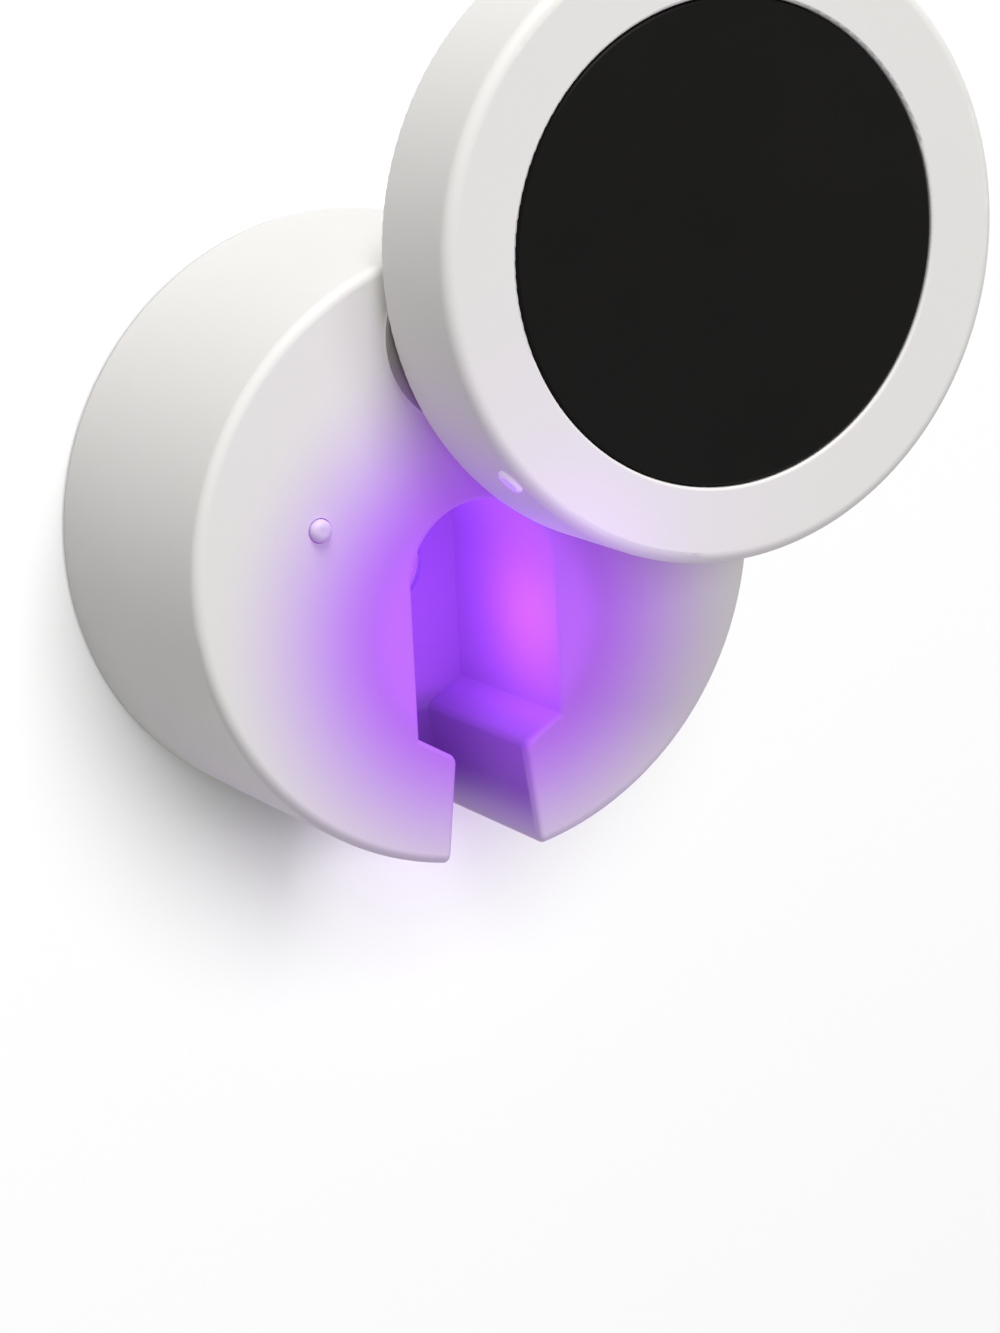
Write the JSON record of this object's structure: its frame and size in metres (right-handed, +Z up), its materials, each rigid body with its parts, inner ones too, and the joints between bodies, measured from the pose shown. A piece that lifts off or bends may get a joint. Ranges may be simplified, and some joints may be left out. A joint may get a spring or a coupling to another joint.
{
  "type": "wall-mounted toothbrush sanitizing case",
  "caption": "Round wall-hung case with an arched pocket for a toothbrush head, violet lamps inside and a round lid that swivels shut over it.",
  "frame": {"origin": "centre of the adhesive face that sticks to the wall, on the drum's axis", "axes": "+Z up, +Y into the wall along the drum's axis, +X to the right for a person who faces the case"},
  "size_m": [0.0803, 0.0435, 0.0885],
  "materials": {
    "white_abs": "fine satin moulded white",
    "black_acrylic": "smooth black",
    "button_white": "polished, slightly clear white",
    "silicone_white": "matt white",
    "silicone_clear": "matt, cloudy",
    "foam": "closed-cell foam",
    "film_adhesive": "thin clear film",
    "steel": "bright zinc-plated steel",
    "nickel": "nickel plated",
    "acetal": "grey acetal",
    "quartz": "clear quartz",
    "lamp_ceramic": "white ceramic lamp package, lit violet",
    "board_green": "solder-mask green",
    "board_white": "white solder mask on an aluminium core",
    "chip_black": "moulded black",
    "cell_foil": "laminate foil",
    "reflector_aluminium": "polished aluminium",
    "wire_red": "red sleeve",
    "wire_grey": "grey sleeve"
  },
  "bodies": {
    "wall_mount": {"adhesive_pad": "foam", "wall_plate": "white_abs", "keeper_disc": "steel"},
    "case": {"base_shell": "white_abs", "rear_cover": "white_abs", "window_seal": "silicone_clear", "pivot_seal": "silicone_clear", "rear_gasket": "silicone_clear", "battery_foam": "foam", "pivot_shaft": "steel", "retaining_clip": "steel", "disc_spring": "steel", "case_screws": "steel", "lamp_screws": "steel", "board_screws": "steel", "detent_spring": "steel", "charge_socket": "steel", "case_magnets": "nickel", "thrust_washer": "acetal", "detent_cap": "acetal", "uv_window": "quartz", "uv_lamps": "lamp_ceramic", "main_board": "board_green", "uv_lamp_board": "board_white", "board_chips": "chip_black", "board_connectors": "chip_black", "socket_tongue": "chip_black", "hall_sensor": "chip_black", "battery_cell": "cell_foil", "battery_leads": "wire_red", "lamp_lead": "wire_grey", "case_harness": "wire_grey"},
    "lid": {"lid_shell": "white_abs", "lid_back_plate": "white_abs", "lid_screws": "steel", "lid_bush": "acetal", "stop_pin": "steel", "lid_reflector": "reflector_aluminium", "lid_magnet": "nickel", "front_disc": "black_acrylic", "disc_adhesive": "film_adhesive", "button_switch": "chip_black", "button_board": "board_green", "lid_harness": "wire_grey"},
    "detent": {"detent_plunger": "white_abs"},
    "port_cap": {"port_plug": "silicone_white"},
    "button": {"power_button": "button_white"}
  },
  "joints": [
    {"name": "case_pull", "type": "slide", "parent": "wall_mount", "child": "case", "axis": [0, -1, 0], "range_m": [0, 0.012]},
    {"name": "lid_swivel", "type": "hinge", "parent": "case", "child": "lid", "pos_m": [0, -0.0312, 0.0215], "axis": [0, -1, 0], "range_deg": [-109, 71]},
    {"name": "detent_press", "type": "slide", "parent": "case", "child": "detent", "axis": [0, 1, 0], "range_m": [0, 0.0006], "stiffness_N_per_m": 800, "springref_m": -0.0006, "deforming": ["detent_spring"]},
    {"name": "port_plug_pull", "type": "slide", "parent": "case", "child": "port_cap", "axis": [1, 0, 0], "range_m": [0, 0.006]},
    {"name": "button_press", "type": "slide", "parent": "lid", "child": "button", "axis": [0.7604, 0, 0.6494], "range_m": [0, 0.00035], "stiffness_N_per_m": 2000, "springref_m": -0.0003}
  ]
}
